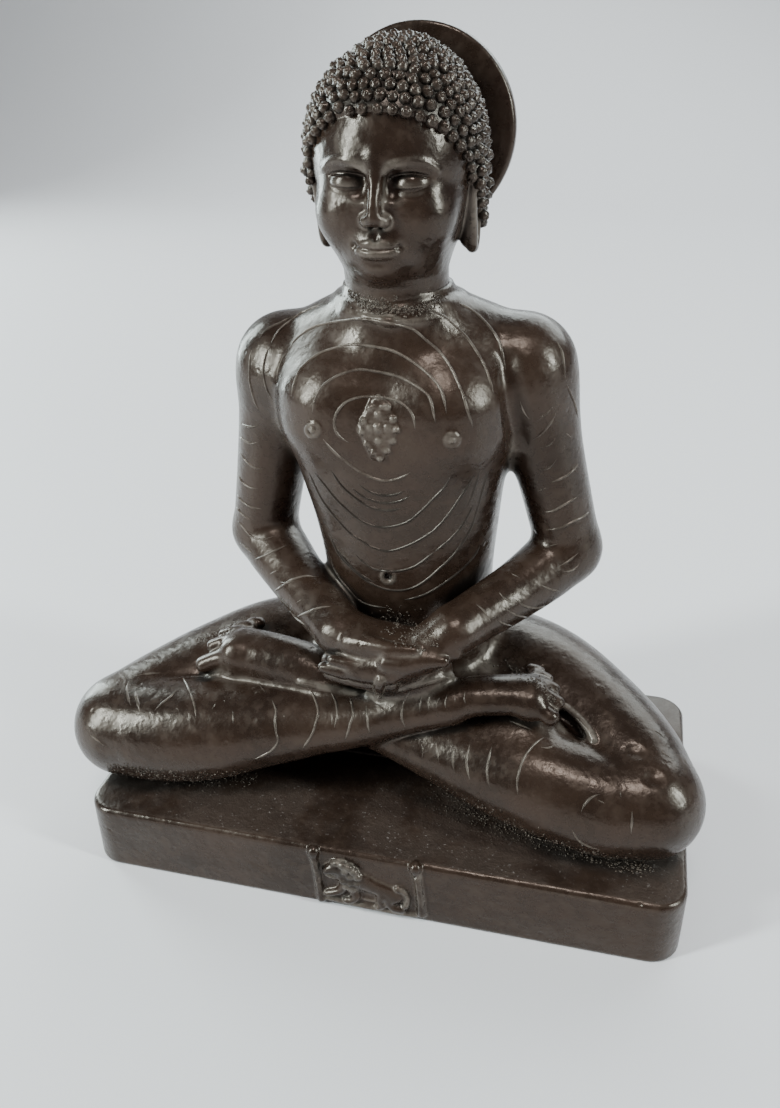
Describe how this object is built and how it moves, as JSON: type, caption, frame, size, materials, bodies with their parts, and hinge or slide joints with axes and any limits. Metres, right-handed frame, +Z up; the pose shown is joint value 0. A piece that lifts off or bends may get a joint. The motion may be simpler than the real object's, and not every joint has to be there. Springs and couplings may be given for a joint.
{
  "type": "mahavira statue",
  "caption": "Small cast statue of a figure seated in full lotus on a low slab, hands in the lap, with a disc behind the head and a lion emblem on the slab's front.",
  "frame": {"origin": "centre of the object's box on the flat underside of the slab", "axes": "+Z up, the figure faces -Y, +X is the viewer's right; the slab is centred 2.5 mm to +X because the knees reach further to -X"},
  "size_m": [0.126, 0.0645, 0.1526],
  "materials": {
    "dark_lacquer": "glossy dark brown lacquer over cast resin, grainier on the slab's top"
  },
  "bodies": {
    "root": {"mahavira_statue": "dark_lacquer"}
  },
  "joints": []
}
